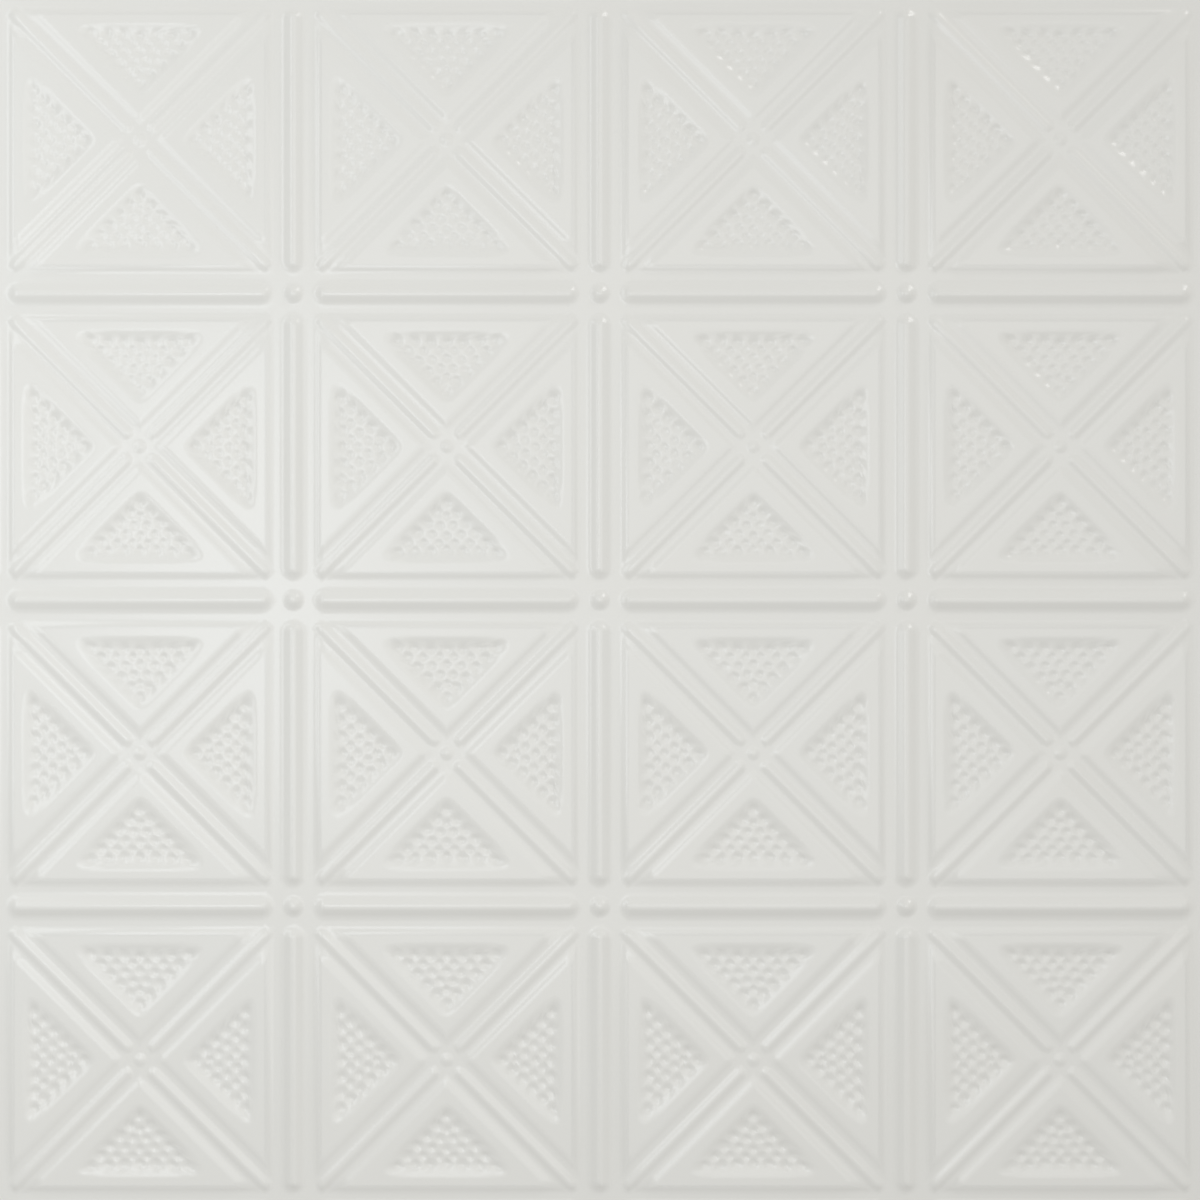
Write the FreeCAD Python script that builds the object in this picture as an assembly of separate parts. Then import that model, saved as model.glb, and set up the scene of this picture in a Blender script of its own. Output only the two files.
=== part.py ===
import FreeCAD, Part
import math
import os
from collections import namedtuple

# A pressed tin ceiling tile: one thin sheet with a square repeat pressed into it.
# The tile lies face up. The origin is the middle of its back, +Z is up, and all sizes are millimetres.

# The sheet and its repeat
pattern_pitch = 152.4  # from one bead line to the next
repeats = 4  # squares along each side
sheet_thickness = 0.3
lap_width = 3.0  # flat lip outside the outermost beads, where the next tile laps

# Round buttons where the lines cross
button_radius = 5.2
button_height = 2.45

# Long beads on the lines between the squares
bead_half_width = 6.3
bead_height = 2.6
button_to_bead = 4.1  # land between a button and a bead's round end

# A raised pad fills each square. Its top is the floor of the grooves along the diagonals
pad_height = 1.1
pad_slope_run = 2.6  # width of the pad's sloping edge, seen from above
bead_to_pad = 2.9  # land between a bead and the foot of a pad

# Ribs along the grooves
rib_half_width = 4.0
rib_height = 0.95
rib_to_pad_edge = 0.4  # pad left around a rib's outer end

# The boss in the middle of each pad
boss_radius = 3.9
boss_height = 0.85
boss_to_rib = 1.9  # pad left between the boss and a rib's inner end

# Four three-sided fields raised on each pad
field_height = 1.3
field_leg_run = 5.5  # width of the slope along a field's legs, seen from above
field_base_run = 2.9  # width of the slope along its base
rib_to_field = 0.2  # pad left between a rib and the foot of a field's leg
pad_edge_to_field = 0.2  # pad left outside the foot of a field's base

# The pan sunk into each field
pan_depth = 2.2
pan_wall_run = 7.4  # width of a pan's sloping wall, seen from above
pan_base_border = 2.0  # flat border of the field along the pan's base
pan_leg_border = 3.2  # flat border of the field along the pan's legs
pan_corner_radius = 6.0

# Round forms have flat sides, because they repeat all over both faces
facet_width = 5.0  # the widest flat side of a round form

# Distances that several forms share, from the middle of a square
pad_half_side = pattern_pitch / 2 - bead_half_width - bead_to_pad - pad_slope_run
rib_end = pad_half_side - rib_to_pad_edge - rib_half_width  # centre of a rib's outer end, along X and along Y

Vector = FreeCAD.Vector
UP = Vector(0, 0, 1)
QUARTER_TURN = 90
SAME_POINT = 1e-6

# A relief is what stands up from a flat: the ring of points that is its foot, and its faces
Relief = namedtuple("Relief", "foot faces")


def same(one, other):
    """Whether two points coincide."""
    return one.isEqual(other, SAME_POINT)


def outline(ring):
    """The closed wire through a ring of points, where points that coincide count as one."""
    corners = [point for i, point in enumerate(ring) if not same(point, ring[i - 1])]
    return Part.makePolygon(corners + corners[:1])


def flat_face(edge, holes=()):
    """The flat face inside a ring of points, less the holes inside other rings."""
    face = Part.Face(outline(edge))
    if holes:
        face.cutHoles([outline(hole[::-1]) for hole in holes])
    return face


def slopes(rings):
    """Flat faces between each ring of points and the next. A side with no width in either ring has no face."""
    faces = []
    for lower, upper in zip(rings, rings[1:]):
        for i in range(len(lower)):
            if not (same(lower[i - 1], lower[i]) and same(upper[i - 1], upper[i])):
                faces.append(flat_face([lower[i - 1], lower[i], upper[i], upper[i - 1]]))
    return faces


def facets(length):
    """How many flat sides a round stretch of this length has."""
    return math.ceil(length / facet_width)


def arc(centre, radius, first, bend, sides):
    """Points around a centre, from the direction first through the angle bend, in radians."""
    turns = [first + bend * side / sides for side in range(sides + 1)]
    return [centre + Vector(math.cos(turn), math.sin(turn)) * radius for turn in turns]


def placed(relief, turn, centre):
    """The relief turned about the Z axis and moved to a centre."""
    place = FreeCAD.Placement(centre, FreeCAD.Rotation(UP, turn))
    foot = [place.multVec(point) for point in relief.foot]
    return Relief(foot, [face.transformed(place.Matrix) for face in relief.faces])


def round_relief(start, end, half_width, height):
    """A bead with round ends about start and end, or a button where these are one point.

    Its section is an arc from foot to crest, and each ring keeps one distance from the middle line.
    """
    arc_radius = (half_width**2 + height**2) / (2 * height)
    half_arc = math.asin(half_width / arc_radius)
    along = math.atan2(end.y - start.y, end.x - start.x)
    sides = facets(math.pi * half_width)
    slope_count = facets(half_width)
    rings = []
    for step in range(slope_count + 1):
        lean = half_arc * (1 - step / slope_count)
        reach = arc_radius * math.sin(lean)
        lift = UP * (arc_radius * math.cos(lean) - arc_radius + height)
        start_end = arc(start + lift, reach, along + math.pi / 2, math.pi, sides)
        rings.append(start_end + arc(end + lift, reach, along - math.pi / 2, math.pi, sides))
    return Relief(rings[0], slopes(rings))


def wedge(to_diagonal, to_base, z, corner_radius=0):
    """A ring of points at height z: the outline of a field or its pan, between two diagonals and a base.

    It keeps to_diagonal from both diagonals of the square, and its base is to_base from the square's middle.
    Each corner has the points that a pan's round corner needs, and with no radius they coincide.
    """
    tip = to_diagonal * math.sqrt(2)
    half_base = to_base - tip
    tip_bend = math.pi / 2
    base_bend = math.pi * 3 / 4
    corners = (
        (Vector(0, tip, z), -math.pi * 3 / 4, tip_bend),
        (Vector(half_base, to_base, z), -math.pi / 4, base_bend),
        (Vector(-half_base, to_base, z), math.pi / 2, base_bend),
    )
    ring = []
    for corner, first, bend in corners:
        outward = first + bend / 2
        inset = corner_radius / math.cos(bend / 2)
        centre = corner - Vector(math.cos(outward), math.sin(outward)) * inset
        ring += arc(centre, corner_radius, first, bend, facets(pan_corner_radius * bend))
    return ring


def field():
    """The field on the +Y side of a square's middle, with sloping edges and its sunken pan."""
    foot_base = pad_half_side - pad_edge_to_field
    foot_diagonal = rib_half_width + rib_to_field
    top_base = foot_base - field_base_run
    top_diagonal = foot_diagonal + field_leg_run
    rim_base = top_base - pan_base_border
    rim_diagonal = top_diagonal + pan_leg_border
    floor_base = rim_base - pan_wall_run
    floor_diagonal = rim_diagonal + pan_wall_run
    floor_radius = max(pan_corner_radius - pan_wall_run, 0)
    foot = wedge(foot_diagonal, foot_base, 0)
    top = wedge(top_diagonal, top_base, field_height)
    rim = wedge(rim_diagonal, rim_base, field_height, pan_corner_radius)
    floor = wedge(floor_diagonal, floor_base, field_height - pan_depth, floor_radius)
    border = flat_face(top, [rim])
    return Relief(foot, slopes([foot, top]) + [border] + slopes([rim, floor]) + [flat_face(floor)])


def rib():
    """The rib on the diagonal between the fields on the +X and +Y sides of a square's middle."""
    diagonal = Vector(1, 1).normalize()
    start = diagonal * (boss_radius + boss_to_rib + rib_half_width)
    return round_relief(start, Vector(rib_end, rib_end), rib_half_width, rib_height)


def pad_ring(corner_radius, z, sides):
    """A ring of points at height z: the pad's outline, with its corners round about the ribs' outer ends."""
    ring = []
    for x, y, first in ((1, 1, 0), (-1, 1, math.pi / 2), (-1, -1, math.pi), (1, -1, -math.pi / 2)):
        ring += arc(Vector(x * rib_end, y * rib_end, z), corner_radius, first, math.pi / 2, sides)
    return ring


def pad():
    """The raised pad of one square, about the origin, with four fields, four ribs and the boss on it."""
    top_radius = pad_half_side - rib_end
    foot_radius = top_radius + pad_slope_run
    sides = facets(foot_radius * math.pi / 2)
    foot = pad_ring(foot_radius, 0, sides)
    top = pad_ring(top_radius, pad_height, sides)
    middle = Vector(0, 0, pad_height)
    reliefs = [round_relief(middle, middle, boss_radius, boss_height)]
    for quarter in range(4):
        for relief in (field(), rib()):
            reliefs.append(placed(relief, quarter * QUARTER_TURN, middle))
    floor = flat_face(top, [relief.foot for relief in reliefs])
    return Relief(foot, slopes([foot, top]) + [floor] + [face for relief in reliefs for face in relief.faces])


def line_reliefs(lines):
    """The buttons at the crossings of the lines, and the beads along the lines between them."""
    end_gap = button_radius + button_to_bead + bead_half_width
    reliefs = []
    for line in lines:
        for crossing in lines:
            spot = Vector(line, crossing)
            reliefs.append(round_relief(spot, spot, button_radius, button_height))
        for before, after in zip(lines, lines[1:]):
            low = before + end_gap
            high = after - end_gap
            upright = round_relief(Vector(line, low), Vector(line, high), bead_half_width, bead_height)
            level = round_relief(Vector(low, line), Vector(high, line), bead_half_width, bead_height)
            reliefs += [upright, level]
    return reliefs


def sheet_edge(half_side, z):
    """The ring of the sheet's four corners at height z."""
    turns = ((-1, -1), (1, -1), (1, 1), (-1, 1))
    return [Vector(x * half_side, y * half_side, z) for x, y in turns]


def tile():
    """The sheet: its back, the same skin one thickness higher as its face, and the cut edge between them."""
    lines = [pattern_pitch * (i - repeats / 2) for i in range(repeats + 1)]
    middles = [line + pattern_pitch / 2 for line in lines[:-1]]
    one_pad = pad()
    pads = [placed(one_pad, 0, Vector(x, y)) for x in middles for y in middles]
    reliefs = line_reliefs(lines) + pads
    half_side = lines[-1] + bead_half_width + lap_width
    back_edge = sheet_edge(half_side, 0)
    face_edge = sheet_edge(half_side, sheet_thickness)
    land = flat_face(back_edge, [relief.foot for relief in reliefs])
    back = [land] + [face for relief in reliefs for face in relief.faces]
    front = [face.translated(UP * sheet_thickness) for face in back]
    skin = Part.makeCompound(back + front + slopes([back_edge, face_edge]))
    skin.sewShape()
    return Part.makeSolid(skin.Shells[0])


os.makedirs("parts", exist_ok=True)
pressed_tile = tile()
pressed_tile.exportStep("parts/pressed_tile.step")
print("pressed_tile:", len(pressed_tile.Faces), "faces,", round(pressed_tile.Volume), "cubic mm")
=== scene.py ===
import math
from collections import namedtuple

import bpy
import numpy as np
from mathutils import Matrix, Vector


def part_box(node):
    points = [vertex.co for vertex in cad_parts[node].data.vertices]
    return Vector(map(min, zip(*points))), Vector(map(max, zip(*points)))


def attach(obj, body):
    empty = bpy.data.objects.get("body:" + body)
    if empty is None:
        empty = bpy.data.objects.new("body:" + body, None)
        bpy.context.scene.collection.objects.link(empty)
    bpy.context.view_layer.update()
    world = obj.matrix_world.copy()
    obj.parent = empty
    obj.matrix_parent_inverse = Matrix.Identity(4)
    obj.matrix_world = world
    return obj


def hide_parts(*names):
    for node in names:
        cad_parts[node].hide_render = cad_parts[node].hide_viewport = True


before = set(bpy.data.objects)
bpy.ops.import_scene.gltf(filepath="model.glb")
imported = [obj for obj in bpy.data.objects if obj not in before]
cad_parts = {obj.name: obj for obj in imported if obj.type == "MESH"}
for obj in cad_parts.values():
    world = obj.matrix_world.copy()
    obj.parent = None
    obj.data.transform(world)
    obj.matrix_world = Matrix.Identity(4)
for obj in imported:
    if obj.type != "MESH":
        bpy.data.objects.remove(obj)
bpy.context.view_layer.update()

# A pressed tin ceiling tile in off-white enamel, lying face up.
# Sizes of the tile are in millimetres. Meshes, the floor, the lights and the camera are in metres.
MM = 0.001
ROOT_2 = math.sqrt(2)

# The sheet and its square repeat
TILE_NODE = "pressed_tile"
PITCH = 152.4
REPEATS = 4
SHEET_THICKNESS = 0.3
_, tile_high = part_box(TILE_NODE)
HALF_SIDE = tile_high.x / MM
HALF_PITCH = PITCH / 2
HALF_DIAGONAL = PITCH / ROOT_2  # from the middle of a square to a crossing of the lines
OUTER_LINE = HALF_PITCH * REPEATS  # the outermost bead line, from the middle of the tile

# Beads along the lines between the squares, and buttons where the lines cross
BEAD_HALF_WIDTH = 7.6
BEAD_SHARPNESS = 1.5  # the higher, the narrower the crest and the softer the foot
BEAD_HEIGHT = tile_high.z / MM - SHEET_THICKNESS
BEAD_END = 15.8  # centre of a bead's round end, from the crossing
BUTTON_RADIUS = 5.9
BUTTON_HEIGHT = 2.45

# A raised pad in each square, with grooves along its diagonals and three-sided fields between them
PAD_FOOT = 9.4  # foot and top of the pad's sloping edge, from the bead line
PAD_TOP = 14.3
CORNER_FOOT = 12.0  # foot and top of a groove's sloping end, from the crossing
CORNER_TOP = 30.0
GROOVE_HEIGHT = 1.1
FIELD_HEIGHT = 2.4
FIELD_FOOT = 4.2  # foot and top of a field's sloping leg, from the diagonal
FIELD_TOP = 10.2

# A rib along each groove and a boss in the middle of the square
RIB_HALF_WIDTH = 4.0
RIB_HEIGHT = 0.95
RIB_START = 9.8  # centre of the rib's inner end, from the middle of the square
RIB_TO_CROSSING = 19.7  # from the centre of its outer end
RIB_END = HALF_DIAGONAL - RIB_TO_CROSSING
BOSS_RADIUS = 4.2
BOSS_HEIGHT = 0.85

# A hammered pan sunk into each field
PAN_DEPTH = 1.5
PAN_WALL = 8.0
PAN_TO_DIAGONAL = 14.2  # from the diagonals to the pan's rim
PAN_TO_LINE = 18.4  # from the bead line to the pan's rim
PAN_RIM_ROUNDING = 1.2  # on each side of the rim
PAN_TIP_ROUNDING = 7.0
PAN_CORNER_ROUNDING = 14.0

# The hammer marks lie in rows between the pan's legs, from its tip to its base
MARK_ROWS = 6
MARK_DEPTH = 0.66
MARK_RADIUS = 3.1
OUTER_MARK_SIZE = 1.25
FIRST_MARK = 27.6  # from the middle of the square
MARK_ROW_STEP = 5.0
MARK_ROW_SPREAD = 4.83  # each row reaches this much further to each side than the one before
MARK_SAG = 2.28  # how far the middle of a row lies nearer to the base than its ends, at most
MARK_SAG_ROW = 1.5  # where the sag is greatest, in rows from the tip
MARK_SAG_FALL = 0.273  # taken off the sag, times the square of the rows from there
MARK_UNEVENNESS = 0.2
MARK_WAVES = ((0.8, 0.5), (0.4, -0.9))  # radians per millimetre along X and Y, of the two uneven waves

# The mesh: rings of points around each pan, closest where the beads, ribs and bosses end
BUTTON_RINGS = np.array([0, 1.5, 3.0, 4.5, BUTTON_RADIUS, 8.0])
BOSS_RINGS = np.array([0, 1.4, 2.8, BOSS_RADIUS, 5.4])
LEG_FROM_MIDDLE = np.array([7.2, 9.8, 13.0])
LEG_FROM_CROSSING = np.array([32, 26, 21.5, 18.3, 15.7, 12.5])
LINE_FROM_CROSSING = np.array([9.3, 11.0, 13.2, BEAD_END])
STEPS_ACROSS_SLOPE = 2
BORDER_TO_DIAGONAL = 11.4  # a ring on the flat border around a pan
BORDER_TO_LINE = 16.0
BORDER_STEPS = 10
WALL_RING = 3.0  # a ring on a pan's wall, from the rim
MARKED_FLOOR = 4.8  # the even grid for the hammer marks starts here, from the rim
BACK_PAN_SLACK = 0.8  # the back has no hammer marks, and its pans lie this much lower to stay under them
SLOPE_STEP = 0.05  # step for measuring slopes
HALVINGS = 30  # for finding a pan's contours
ANGLE_DIGITS = 6  # points of a ring count as one where their angles agree to this many decimals
CELLS_PER_MM = 1000  # points in the same cell are merged
CELL_SHIFT = 0.237  # keeps round numbers clear of the limits between cells

# How fine each side of the sheet is: steps across half a bead, around a quarter of a boss,
# around an eighth of a button, and along each side of a pan's floor
Fineness = namedtuple("Fineness", "bead boss button pan")
FACE = Fineness(bead=4, boss=8, button=4, pan=31)
BACK = Fineness(bead=3, boss=4, button=2, pan=8)

# The enamel, and the primer on the back
WARM_WHITE = (0.735, 0.727, 0.690, 1)
COOL_WHITE = (0.742, 0.742, 0.712, 1)
PRIMER = (0.60, 0.60, 0.585, 1)
ENAMEL_ROUGHNESS = 0.18
CLOUD_ROUGHNESS = 0.04  # added where the clouds are cool
RIPPLE_ROUGHNESS = 0.02  # added on the crests of the ripple
BACK_ROUGHNESS = 0.3  # added on the back


def s_curve(low, high, x):
    """0 below low, 1 above high, and a smooth S between them: 3 t squared less 2 t cubed."""
    t = np.clip((x - low) / (high - low), 0, 1)
    return t * t * (3 - 2 * t)


def bell(reach, distance):
    """1 in the middle and 0 from reach on, along a squared cosine."""
    return np.cos(np.pi / 2 * np.clip(distance / reach, 0, 1)) ** 2


def rounded_min(one, other, width):
    """The smaller of two values, less a parabola that rounds the change between them over a width."""
    overlap = np.clip(1 - np.abs(one - other) / width, 0, 1)
    return np.minimum(one, other) - overlap**2 * width / 4


def hammer_marks():
    """The marks on one half of a pan: distance across it, distance out from the square's middle, and size.

    Row by row from the tip: one mark, then 3, 4, 5 and so on, evenly spread between the pan's legs.
    The outermost marks are larger, so that they scallop the pan's wall.
    """
    rows = []
    for row in range(MARK_ROWS):
        spread = np.linspace(-1, 1, row + 2) if row else np.zeros(1)
        sag = MARK_SAG - MARK_SAG_FALL * (row - MARK_SAG_ROW) ** 2 if row else 0
        out = FIRST_MARK + row * MARK_ROW_STEP + sag * (1 - np.abs(spread))
        outermost = (np.abs(spread) == 1) | (row in (0, MARK_ROWS - 1))
        size = np.where(outermost, OUTER_MARK_SIZE, 1)
        rows.append(np.column_stack([spread * row * MARK_ROW_SPREAD, out, size]))
    marks = np.concatenate(rows)
    return marks[marks[:, 0] > -MARK_RADIUS / 2].T


def folded(x, y):
    """Where points lie in their square: across, and out from its middle towards its nearest line."""
    last_middle = OUTER_LINE - HALF_PITCH
    middles = [np.clip(np.floor(p / PITCH) * PITCH + HALF_PITCH, -last_middle, last_middle) for p in (x, y)]
    beside = np.abs(x - middles[0])
    ahead = np.abs(y - middles[1])
    return np.minimum(beside, ahead), np.maximum(beside, ahead)


def inside_pan(across, out):
    """How far points lie inside a pan's rim: the least distance from legs and base, rounded at corners."""
    from_legs = rounded_min((out - across) / ROOT_2, (out + across) / ROOT_2, PAN_TIP_ROUNDING)
    from_base = HALF_PITCH - out - PAN_TO_LINE
    return rounded_min(from_legs - PAN_TO_DIAGONAL, from_base, PAN_CORNER_ROUNDING)


def pan_share(across, out):
    """How far points lie down a pan's wall: 0 outside its rim and 1 on its floor.

    The wall is a parabola that levels out on the floor, and a second parabola rounds the rim.
    """
    inside = inside_pan(across, out)
    rounded = (inside + PAN_RIM_ROUNDING) ** 2 / (4 * PAN_RIM_ROUNDING)
    past_rim = np.where(np.abs(inside) < PAN_RIM_ROUNDING, rounded, np.maximum(inside, 0))
    return 1 - (1 - np.clip(past_rim / PAN_WALL, 0, 1)) ** 2


def relief(x, y):
    """Height of the pressed pattern over the flat land, without its hammer marks.

    Buttons, ribs and bosses are bells of the distance from their middles, and beads are such bells raised
    to a power. The pad is the product of S-curves up from the bead line, up from the crossing, and up from
    the groove's floor to the fields. The pan is a parabola down from its rim.
    """
    across, out = folded(x, y)
    from_line = HALF_PITCH - out
    along_line = HALF_PITCH - across
    from_diagonal = (out - across) / ROOT_2
    along_diagonal = (out + across) / ROOT_2
    from_crossing = HALF_DIAGONAL - along_diagonal
    past_bead = np.clip(BEAD_END - np.abs(along_line), 0, None)
    past_rib = np.clip(RIB_START - along_diagonal, 0, None) + np.clip(along_diagonal - RIB_END, 0, None)
    bead = BEAD_HEIGHT * bell(BEAD_HALF_WIDTH, np.hypot(from_line, past_bead)) ** BEAD_SHARPNESS
    button = BUTTON_HEIGHT * bell(BUTTON_RADIUS, np.hypot(from_line, along_line))
    rib = RIB_HEIGHT * bell(RIB_HALF_WIDTH, np.hypot(from_diagonal, past_rib))
    boss = BOSS_HEIGHT * bell(BOSS_RADIUS, np.hypot(across, out))
    field = GROOVE_HEIGHT + (FIELD_HEIGHT - GROOVE_HEIGHT) * s_curve(FIELD_FOOT, FIELD_TOP, from_diagonal)
    pad = field * s_curve(PAD_FOOT, PAD_TOP, from_line) * s_curve(CORNER_FOOT, CORNER_TOP, from_crossing)
    return bead + button + rib + boss + pad - PAN_DEPTH * pan_share(across, out)


def hammered(x, y):
    """Height of the relief with its hammer marks.

    The marks are bells cut into the pans. A product of two sine waves over the tile makes some deeper.
    """
    across, out = folded(x, y)
    mark_across, mark_out, mark_size = hammer_marks()
    to_marks = np.hypot(across[:, None] - mark_across, out[:, None] - mark_out)
    marks = (MARK_DEPTH * mark_size * bell(MARK_RADIUS * mark_size, to_marks)).max(axis=1)
    waves = [np.sin(along_x * x + along_y * y) for along_x, along_y in MARK_WAVES]
    uneven = 1 + MARK_UNEVENNESS * waves[0] * waves[1]
    return relief(x, y) - marks * uneven


def underside(x, y):
    """Height of the back: the relief without hammer marks, with its pans lowered.

    An S-curve over the rounded rims leads to the lowered pans, and nothing lies below the flat land.
    """
    lowered = s_curve(-PAN_RIM_ROUNDING, PAN_RIM_ROUNDING, inside_pan(*folded(x, y)))
    return np.maximum(relief(x, y) - BACK_PAN_SLACK * lowered, 0)


def facing(height, x, y):
    """The direction in which a height function faces upwards, from its slopes along X and Y."""
    step = SLOPE_STEP
    slope_x = (height(x + step, y) - height(x - step, y)) / (2 * step)
    slope_y = (height(x, y + step) - height(x, y - step)) / (2 * step)
    normal = np.column_stack([-slope_x, -slope_y, np.ones(len(x))])
    return normal / np.linalg.norm(normal, axis=1)[:, None]


def grid_triangles(number):
    """Two triangles for each cell of a grid of point numbers."""
    corner, ahead, beside, across = number[:-1, :-1], number[1:, :-1], number[:-1, 1:], number[1:, 1:]
    near = np.stack([corner, ahead, across], axis=-1)
    far = np.stack([corner, across, beside], axis=-1)
    return np.concatenate([near.reshape(-1, 3), far.reshape(-1, 3)])


def grid_patch(points):
    """A patch, which is points x + iy and triangles of their numbers, from a grid of points."""
    return points.ravel(), grid_triangles(np.arange(points.size).reshape(points.shape))


def joined(patches):
    """Several patches as one. Points that coincide are merged later."""
    firsts = np.cumsum([0] + [len(points) for points, _ in patches[:-1]])
    points = np.concatenate([points for points, _ in patches])
    return points, np.concatenate([triangles + first for first, (_, triangles) in zip(firsts, patches)])


def directions(first, bend, steps):
    """Unit directions, as complex numbers, from an angle through a bend."""
    return np.exp(1j * (first + bend * np.linspace(0, 1, steps + 1)))


def three_corners(to_diagonal, to_line):
    """Tip and two base corners of a three-sided outline in the square's +Y quarter."""
    tip = 1j * to_diagonal * ROOT_2
    half_base = HALF_PITCH - to_line - to_diagonal * ROOT_2
    base = 1j * (HALF_PITCH - to_line)
    return tip, base + half_base, base - half_base


def edge_ring(boss, right_button, left_button):
    """The edge of a quarter without its round corners, whose directions are given.

    It goes up the right leg, round the right crossing, back along the line, round the left crossing,
    down the left leg and round the boss.
    """
    tip, right, left = three_corners(0, 0)
    leg = np.concatenate([LEG_FROM_MIDDLE, HALF_DIAGONAL - LEG_FROM_CROSSING]) / HALF_DIAGONAL
    line = np.concatenate([LINE_FROM_CROSSING, PITCH - LINE_FROM_CROSSING[::-1]]) / PITCH
    return np.concatenate(
        [
            tip + leg * (right - tip),
            right + BUTTON_RINGS[-1] * right_button[::-1],
            right + line * (left - right),
            left + BUTTON_RINGS[-1] * left_button[::-1],
            left + (1 - leg[::-1]) * (tip - left),
            tip + BOSS_RINGS[-1] * boss[::-1],
        ]
    )


def nearest_on(outline, points):
    """For each point, the nearest one on a three-sided outline, out of the nearest on each side."""
    starts = np.array(outline)[:, None]
    sides = np.roll(outline, -1)[:, None] - starts
    shares = np.clip(((points - starts) * sides.conj()).real / np.abs(sides) ** 2, 0, 1)
    places = starts + shares * sides
    best = np.abs(places - points).argmin(axis=0)
    return places[best, np.arange(points.size)]


def seam_patch(outer, inner, middle):
    """A patch between two rings about a middle.

    Each triangle takes in the next point of one ring or the other, whichever comes first by angle.
    """
    rings = []
    for ring in (outer, inner):
        angle = np.angle((ring - middle) / (inner[0] - middle))
        angle = (angle + 10**-ANGLE_DIGITS) % (2 * np.pi)
        angle, kept = np.unique(angle.round(ANGLE_DIGITS), return_index=True)
        rings.append((ring[kept], np.append(angle[1:], 2 * np.pi)))
    (outer, outer_turns), (inner, inner_turns) = rings
    order = np.argsort(np.concatenate([outer_turns, inner_turns]), kind="stable")
    outer_next = order < len(outer)
    outer_at = np.cumsum(outer_next) - outer_next
    inner_at = np.cumsum(~outer_next) - ~outer_next
    third = np.where(outer_next, (outer_at + 1) % len(outer), len(outer) + (inner_at + 1) % len(inner))
    triangles = np.column_stack([outer_at % len(outer), third, len(outer) + inner_at % len(inner)])
    return np.concatenate([outer, inner]), triangles


def pan_contour(outer, inner, level):
    """Points between two rings where the distance inside the pan's rim is level, found by halving."""
    low = np.zeros(len(outer))
    high = np.ones(len(outer))
    for _ in range(HALVINGS):
        share = (low + high) / 2
        place = outer + share * (inner - outer)
        short = inside_pan(np.abs(place.real), place.imag) < level
        low = np.where(short, share, low)
        high = np.where(short, high, share)
    return outer + high * (inner - outer)


def three_sided_grid(corners, steps):
    """A patch of even triangles over a three-sided outline, and the points around its edge."""
    tip, right, left = corners
    up, side = np.meshgrid(np.arange(steps + 1), np.arange(steps + 1), indexing="ij")
    within = up + side <= steps
    number = np.where(within, np.cumsum(within).reshape(within.shape) - 1, -1)
    points = (tip + ((right - tip) * up + (left - tip) * side) / steps)[within]
    corner, ahead, beside, across = number[:-1, :-1], number[1:, :-1], number[:-1, 1:], number[1:, 1:]
    near = np.stack([corner, ahead, beside], axis=-1)[ahead >= 0]
    far = np.stack([ahead, across, beside], axis=-1)[across >= 0]
    step = np.arange(steps)
    edge = np.concatenate([number[step, 0], number[steps - step, step], number[0, steps - step]])
    return (points, np.concatenate([near, far])), points[edge]


def quarter_patch(fineness):
    """The +Y quarter of a square: rings about its corners, rings from its edges inwards, and the pan."""
    tip, right, left = three_corners(0, 0)
    boss = directions(np.pi / 4, np.pi / 2, fineness.boss)
    right_button = directions(np.pi, np.pi / 4, fineness.button)
    left_button = directions(-np.pi / 4, np.pi / 4, fineness.button)
    edge = edge_ring(boss, right_button, left_button)
    edge = np.append(edge, edge[0])
    foot = nearest_on(three_corners(RIB_HALF_WIDTH, BEAD_HALF_WIDTH), edge)
    share = np.linspace(0, 1, fineness.bead + 1)
    slope = np.linspace([FIELD_FOOT, PAD_FOOT], [FIELD_TOP, PAD_TOP], STEPS_ACROSS_SLOPE + 1)
    across_slope = [nearest_on(three_corners(*step), foot) for step in slope]
    inwards = np.column_stack([edge[:, None] + share * (foot - edge)[:, None], *across_slope])
    rim_corners = three_corners(PAN_TO_DIAGONAL - PAN_RIM_ROUNDING, PAN_TO_LINE - PAN_RIM_ROUNDING)
    floor_corners = three_corners(PAN_TO_DIAGONAL + MARKED_FLOOR, PAN_TO_LINE + MARKED_FLOOR)
    pan_floor, floor_edge = three_sided_grid(floor_corners, fineness.pan)
    _, sharp_rim = three_sided_grid(rim_corners, fineness.pan)
    _, border = three_sided_grid(three_corners(BORDER_TO_DIAGONAL, BORDER_TO_LINE), BORDER_STEPS)
    rim_start = pan_contour(sharp_rim, floor_edge, -PAN_RIM_ROUNDING)
    rim_end = pan_contour(sharp_rim, floor_edge, PAN_RIM_ROUNDING)
    ring_share = (WALL_RING - PAN_RIM_ROUNDING) / (MARKED_FLOOR - PAN_RIM_ROUNDING)
    wall_ring = rim_end + ring_share * (floor_edge - rim_end)
    wall = np.column_stack([rim_start, rim_end, wall_ring, floor_edge])
    middle = sum(floor_corners) / 3
    return joined(
        [
            grid_patch(tip + BOSS_RINGS[:, None] * boss),
            grid_patch(right + BUTTON_RINGS[:, None] * right_button),
            grid_patch(left + BUTTON_RINGS[:, None] * left_button),
            grid_patch(inwards),
            seam_patch(inwards[:, -1], border, middle),
            seam_patch(border, rim_start, middle),
            grid_patch(np.concatenate([wall, wall[:1]])),
            pan_floor,
        ]
    )


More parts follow.
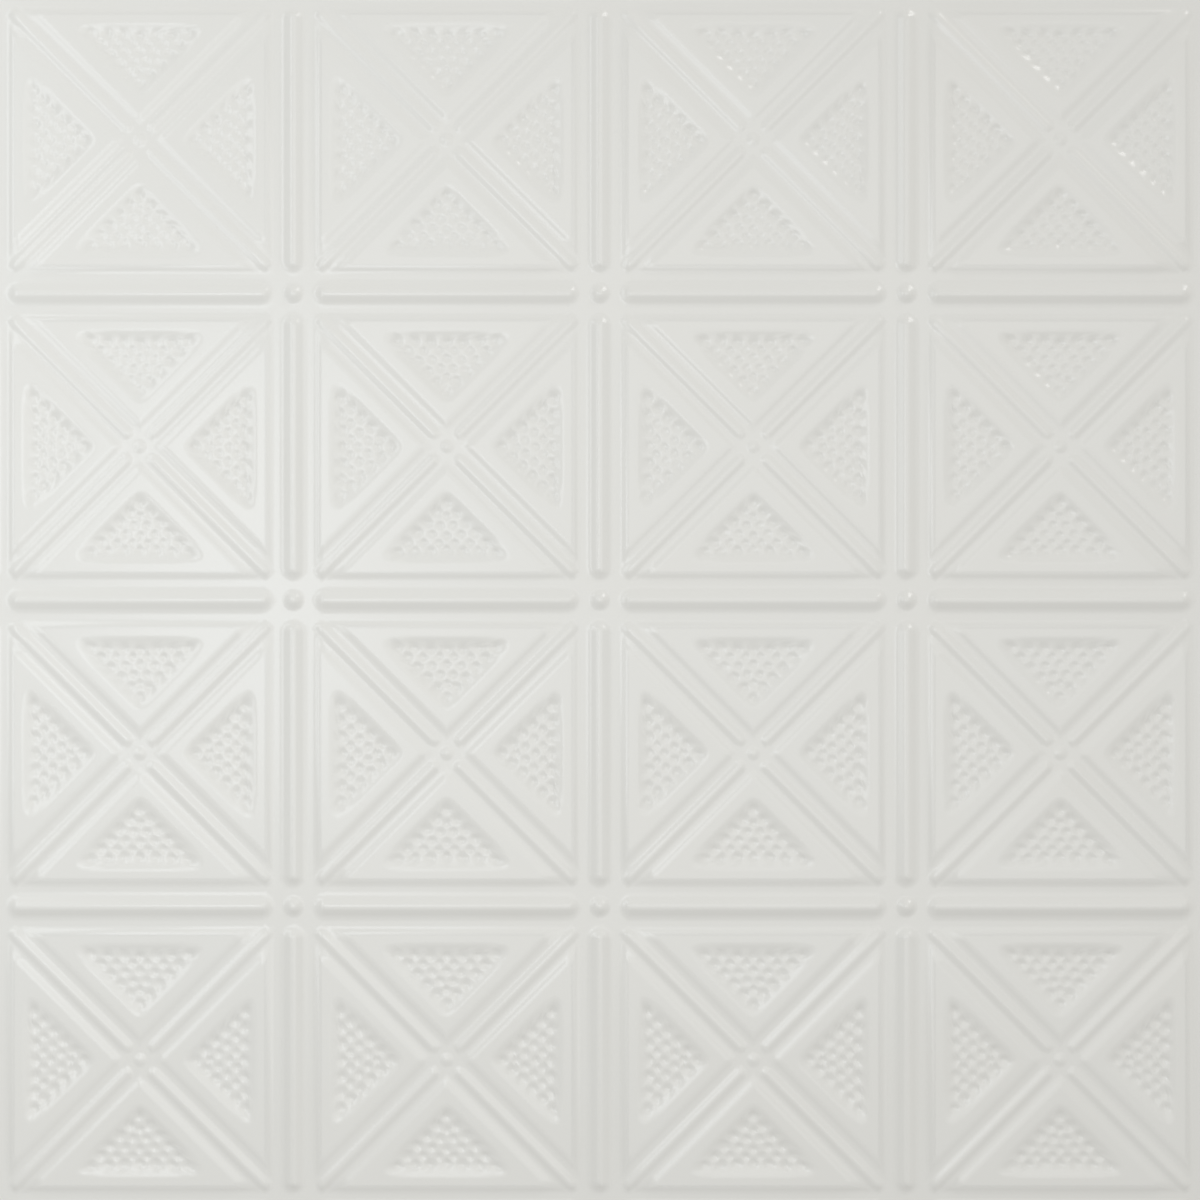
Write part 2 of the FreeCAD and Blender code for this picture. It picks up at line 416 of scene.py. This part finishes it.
def lip_patch():
    """The strip outside the +Y bead line, with the corner at its right end, and its outer edge in order."""
    half_line = np.concatenate([BUTTON_RINGS, LINE_FROM_CROSSING])
    one_line = np.concatenate([half_line, PITCH - half_line[:0:-1]])
    outward = np.append(BUTTON_RINGS[:-1], [BEAD_HALF_WIDTH, HALF_SIDE - OUTER_LINE])
    along = (one_line + PITCH * np.arange(REPEATS)[:, None]).ravel() - OUTER_LINE
    along = np.append(along, OUTER_LINE + outward)
    grid = along[:, None] + 1j * (OUTER_LINE + outward)
    edge = np.concatenate([grid[:, -1], grid[-1, -2:0:-1]])
    return grid_patch(grid), edge


def sheet_plan(fineness):
    """Plan of the whole sheet: points x + iy, triangles, and the numbers of its edge points, clockwise."""
    turns = np.array([1, -1j, -1, 1j])
    middles = np.arange(REPEATS) * PITCH + HALF_PITCH - OUTER_LINE
    squares = (middles[:, None] + 1j * middles).ravel()
    quarter, quarter_triangles = quarter_patch(fineness)
    (lip, lip_triangles), lip_edge = lip_patch()
    quarters = [(square + turn * quarter, quarter_triangles) for square in squares for turn in turns]
    lips = [(turn * lip, lip_triangles) for turn in turns]
    points, triangles = joined(quarters + lips)
    edge = (turns[:, None] * lip_edge).ravel()
    every = np.concatenate([points, edge])
    cell = np.round(np.column_stack([every.real, every.imag]) * CELLS_PER_MM + CELL_SHIFT).astype(np.int64)
    _, kept, merged = np.unique(cell, axis=0, return_index=True, return_inverse=True)
    merged = merged.reshape(-1)
    triangles = merged[triangles]
    distinct = (triangles != np.roll(triangles, 1, axis=1)).all(axis=1)
    return every[kept], triangles[distinct], merged[points.size :]


def mesh_from(name, points, triangles, corner_normals, back):
    """A mesh in metres from arrays, with its own normal at each triangle's corner and a back attribute."""
    mesh = bpy.data.meshes.new(name)
    mesh.vertices.add(len(points))
    mesh.vertices.foreach_set("co", (points * MM).astype(np.float32).ravel())
    mesh.loops.add(triangles.size)
    mesh.loops.foreach_set("vertex_index", triangles.astype(np.int32).ravel())
    mesh.polygons.add(len(triangles))
    mesh.polygons.foreach_set("loop_start", np.arange(0, triangles.size, 3, dtype=np.int32))
    mesh.update(calc_edges=True)
    mesh.validate()
    mesh.shade_smooth()
    mesh.normals_split_custom_set(corner_normals.reshape(-1, 3).tolist())
    attribute = mesh.attributes.new("back", "FLOAT", "POINT")
    attribute.data.foreach_set("value", back.astype(np.float32))
    return mesh


def pressed_sheet():
    """The sheet as one closed mesh: the hammered face, the back under it, and the cut edge between them."""
    face, face_triangles, face_edge = sheet_plan(FACE)
    back, back_triangles, back_edge = sheet_plan(BACK)
    face_height = hammered(face.real, face.imag) + SHEET_THICKNESS
    back_height = underside(back.real, back.imag)
    face_points = np.column_stack([face.real, face.imag, face_height])
    back_points = np.column_stack([back.real, back.imag, back_height])
    points = np.concatenate([face_points, back_points])
    face_normals = facing(hammered, face.real, face.imag)
    back_normals = -facing(underside, back.real, back.imag)
    normals = np.concatenate([face_normals, back_normals])
    back_triangles = back_triangles[:, ::-1] + len(face)
    back_edge = back_edge + len(face)
    face_next = np.roll(face_edge, -1)
    back_next = np.roll(back_edge, -1)
    upper = np.column_stack([face_edge, face_next, back_next])
    lower = np.column_stack([face_edge, back_next, back_edge])
    cut_edge = np.concatenate([upper, lower])
    first, second, third = points[cut_edge].transpose(1, 0, 2)
    sides = np.cross(second - first, third - first)
    sides /= np.linalg.norm(sides, axis=1)[:, None]
    skins = np.concatenate([face_triangles, back_triangles])
    triangles = np.concatenate([skins, cut_edge])
    corner_normals = np.concatenate([normals[skins], np.repeat(sides[:, None], 3, axis=1)])
    is_back = np.repeat([0, 1], [len(face), len(back)])
    return mesh_from("pressed_sheet", points, triangles, corner_normals, is_back)


class Wire:
    """An output in a material's nodes. Arithmetic on it adds Math nodes, and node adds any other kind."""

    def __init__(self, tree, socket=None):
        self.tree = tree
        self.socket = socket

    def node(self, kind, settings, inputs, output=0):
        """A new node of a kind. Its settings are set first, then its sockets get their values or wires."""
        made = self.tree.nodes.new(kind)
        for name, value in settings.items():
            setattr(made, name, value)
        for name, value in inputs.items():
            if isinstance(value, Wire):
                self.tree.links.new(value.socket, made.inputs[name])
            else:
                made.inputs[name].default_value = value
        return Wire(self.tree, made.outputs[output]) if made.outputs else None

    def math(self, operation, first, second):
        """A Math node with an operation on two values or wires."""
        return self.node("ShaderNodeMath", {"operation": operation}, {0: first, 1: second})

    def __add__(self, other):
        return self.math("ADD", self, other)

    def __mul__(self, other):
        return self.math("MULTIPLY", self, other)

    __radd__ = __add__
    __rmul__ = __mul__

    def colour_to(self, first, second):
        """The colour from first, where this value is 0, to second, where it is 1.

        A Mix node has sockets for each type of data. Its colours are sockets 6 and 7, and output 2.
        """
        inputs = {0: self, 6: first, 7: second}
        return self.node("ShaderNodeMix", {"data_type": "RGBA"}, inputs, output=2)


def new_material(name):
    """A material with no nodes yet, and a wire to start them from."""
    material = bpy.data.materials.new(name)
    material.use_nodes = True
    material.node_tree.nodes.clear()
    return material, Wire(material.node_tree)


def off_white_enamel():
    """Semi-gloss enamel: faint clouds of warmer and cooler white, and the fine ripple of sprayed paint."""
    material, start = new_material("off_white_enamel")
    place = start.node("ShaderNodeTexCoord", {}, {}, "Object")
    cloud = start.node("ShaderNodeTexNoise", {}, {"Vector": place, "Scale": 14.0, "Detail": 3.0})
    ripple = start.node("ShaderNodeTexNoise", {}, {"Vector": place, "Scale": 620.0, "Detail": 2.0})
    back = start.node("ShaderNodeAttribute", {"attribute_name": "back"}, {}, "Fac")
    paint = cloud.colour_to(WARM_WHITE, COOL_WHITE)
    colour = back.colour_to(paint, PRIMER)
    paint_roughness = ENAMEL_ROUGHNESS + cloud * CLOUD_ROUGHNESS + ripple * RIPPLE_ROUGHNESS
    roughness = paint_roughness + back * BACK_ROUGHNESS
    bump = start.node("ShaderNodeBump", {}, {"Strength": 0.12, "Distance": 0.00006, "Height": ripple})
    inputs = {"Base Color": colour, "Roughness": roughness, "Normal": bump, "IOR": 1.5}
    shader = start.node("ShaderNodeBsdfPrincipled", {}, inputs)
    start.node("ShaderNodeOutputMaterial", {}, {"Surface": shader})
    return material


def pale_floor():
    """Matt pale grey floor."""
    material, start = new_material("pale_floor")
    inputs = {"Base Color": (0.58, 0.58, 0.57, 1), "Roughness": 0.9}
    shader = start.node("ShaderNodeBsdfPrincipled", {}, inputs)
    start.node("ShaderNodeOutputMaterial", {}, {"Surface": shader})
    return material


def shown(name, mesh, material):
    """A new object at the origin, in the scene."""
    mesh.materials.append(material)
    piece = bpy.data.objects.new(name, mesh)
    bpy.context.scene.collection.objects.link(piece)
    return piece


def floor():
    """A wide flat square just under the tile."""
    half = 20.0
    level = -0.0002
    corners = [(-half, -half, level), (half, -half, level), (half, half, level), (-half, half, level)]
    mesh = bpy.data.meshes.new("floor")
    mesh.from_pydata(corners, [], [(0, 1, 2, 3)])
    shown("floor", mesh, pale_floor())


def soft_light(name, place, target, width, depth, power, colour):
    """A flat area light at a place, turned to a target, in metres and watts."""
    data = bpy.data.lights.new(name, "AREA")
    data.shape = "RECTANGLE"
    data.size = width
    data.size_y = depth
    data.energy = power
    data.color = colour
    light = bpy.data.objects.new(name, data)
    light.location = place
    light.rotation_euler = (Vector(target) - Vector(place)).to_track_quat("-Z", "Y").to_euler()
    bpy.context.scene.collection.objects.link(light)


def studio():
    """A pale world and soft lights: one above, a cooler pair on the left, one past the far right corner."""
    world = bpy.data.worlds.new("studio")
    world.use_nodes = True
    background = world.node_tree.nodes["Background"]
    background.inputs["Color"].default_value = (1.0, 0.991, 0.977, 1)
    background.inputs["Strength"].default_value = 0.639
    bpy.context.scene.world = world
    neutral = (1.0, 1.0, 1.0)
    cool = (0.90, 0.95, 1.0)
    soft_light("overhead", (0.15, 0.05, 1.0), (0.15, 0.05, 0), 0.75, 0.8, 1.4, neutral)
    soft_light("left_sheen", (-0.27, 0.03, 1.0), (-0.27, 0.03, 0), 0.3, 0.4, 1.06, cool)
    soft_light("left_side", (-0.60, 0.20, 0.60), (-0.60, 0.20, 0), 0.25, 0.75, 1.3, cool)
    soft_light("far_corner", (2.4, 3.0, 1.6), (0, 0, 0), 1.8, 1.4, 30.0, neutral)


def camera():
    """Straight above the tile. The photograph's 1200 pixels take in about 596 mm at the beads' height."""
    pixels = 1200
    pixels_per_repeat = 307.0
    data = bpy.data.cameras.new("camera")
    data.lens = 85.0
    half_view = PITCH / pixels_per_repeat * pixels / 2 * MM
    height = half_view * data.lens / (data.sensor_width / 2)
    view = bpy.data.objects.new("camera", data)
    view.location = (0, 0, tile_high.z + height)
    bpy.context.scene.collection.objects.link(view)
    bpy.context.scene.camera = view


sheet = shown("pressed_sheet", pressed_sheet(), off_white_enamel())
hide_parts(TILE_NODE)
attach(sheet, "root")
floor()
studio()
camera()
bpy.context.scene.view_settings.view_transform = "Standard"
